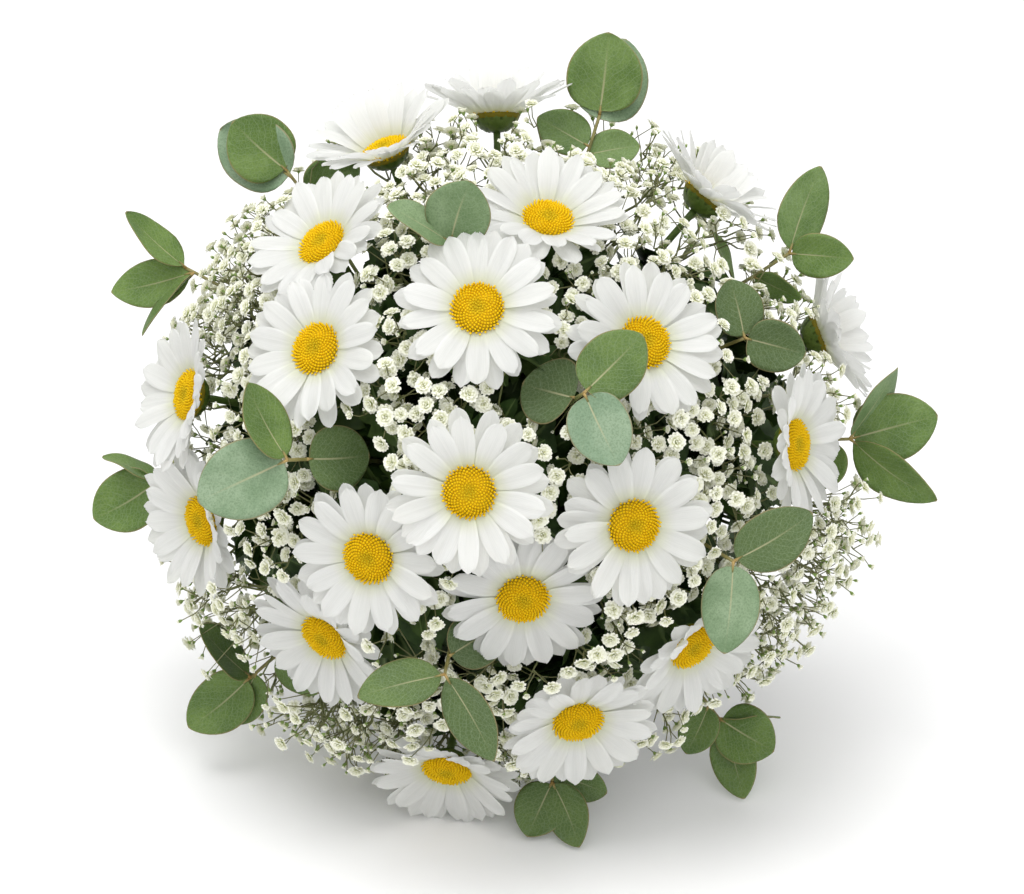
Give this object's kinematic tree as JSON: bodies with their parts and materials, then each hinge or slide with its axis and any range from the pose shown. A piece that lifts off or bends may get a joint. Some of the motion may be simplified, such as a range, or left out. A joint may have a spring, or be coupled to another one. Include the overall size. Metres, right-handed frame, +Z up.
{
  "type": "bunch of daisies",
  "caption": "Round hand-tied bunch of white daisies with eucalyptus and baby's breath, bound at the waist and lying on its side.",
  "frame": {"origin": "middle of the bunch's overall box, at the level of the flat surface it lies on", "axes": "+Z up from that surface; -Y towards the face of the dome of flowers, +Y towards the cut ends of the stems; +X to the right as the face of the dome is looked at"},
  "size_m": [0.3808, 0.4036, 0.313],
  "materials": {
    "daisy_rays": "soft satin white ray florets, faintly green at their inner ends",
    "daisy_disc": "matte golden yellow disc of small packed florets, greener in the middle",
    "daisy_stem": "fresh green ridged stem with a green cup of bracts",
    "eucalyptus_leaf": "leathery grey-green leaf with a dull bloom and a pale midrib",
    "eucalyptus_stem": "thin woody shoot, green-brown turning tan at the nodes",
    "babys_breath_floret": "matte cream-white double florets and buds",
    "babys_breath_stem": "wiry dull green branches",
    "twine": "natural jute twine, rough and matte"
  },
  "bodies": {
    "root": {"daisy_01_head": "daisy_rays", "daisy_01_stem": "daisy_stem", "daisy_02_head": "daisy_rays", "daisy_02_stem": "daisy_stem", "daisy_03_head": "daisy_rays", "daisy_03_stem": "daisy_stem", "daisy_04_head": "daisy_rays", "daisy_04_stem": "daisy_stem", "daisy_05_head": "daisy_rays", "daisy_05_stem": "daisy_stem", "daisy_06_head": "daisy_rays", "daisy_06_stem": "daisy_stem", "daisy_07_head": "daisy_rays", "daisy_07_stem": "daisy_stem", "daisy_08_head": "daisy_rays", "daisy_08_stem": "daisy_stem", "daisy_09_head": "daisy_rays", "daisy_09_stem": "daisy_stem", "daisy_10_head": "daisy_rays", "daisy_10_stem": "daisy_stem", "daisy_11_head": "daisy_rays", "daisy_11_stem": "daisy_stem", "daisy_12_head": "daisy_rays", "daisy_12_stem": "daisy_stem", "daisy_13_head": "daisy_rays", "daisy_13_stem": "daisy_stem", "daisy_14_head": "daisy_rays", "daisy_14_stem": "daisy_stem", "daisy_15_head": "daisy_rays", "daisy_15_stem": "daisy_stem", "daisy_16_head": "daisy_rays", "daisy_16_stem": "daisy_stem", "daisy_17_head": "daisy_rays", "daisy_17_stem": "daisy_stem", "daisy_18_head": "daisy_rays", "daisy_18_stem": "daisy_stem", "daisy_19_head": "daisy_rays", "daisy_19_stem": "daisy_stem", "daisy_20_head": "daisy_rays", "daisy_20_stem": "daisy_stem", "eucalyptus_sprig_01": "eucalyptus_leaf", "eucalyptus_sprig_02": "eucalyptus_leaf", "eucalyptus_sprig_03": "eucalyptus_leaf", "eucalyptus_sprig_04": "eucalyptus_leaf", "eucalyptus_sprig_05": "eucalyptus_leaf", "eucalyptus_sprig_06": "eucalyptus_leaf", "eucalyptus_sprig_07": "eucalyptus_leaf", "eucalyptus_sprig_08": "eucalyptus_leaf", "babys_breath_spray_01": "babys_breath_floret", "babys_breath_spray_02": "babys_breath_floret", "babys_breath_spray_03": "babys_breath_floret", "babys_breath_spray_04": "babys_breath_floret", "babys_breath_spray_05": "babys_breath_floret", "babys_breath_spray_06": "babys_breath_floret", "babys_breath_spray_07": "babys_breath_floret", "babys_breath_spray_08": "babys_breath_floret", "babys_breath_spray_09": "babys_breath_floret", "babys_breath_spray_10": "babys_breath_floret", "babys_breath_spray_11": "babys_breath_floret", "twine_binding": "twine"}
  },
  "joints": []
}
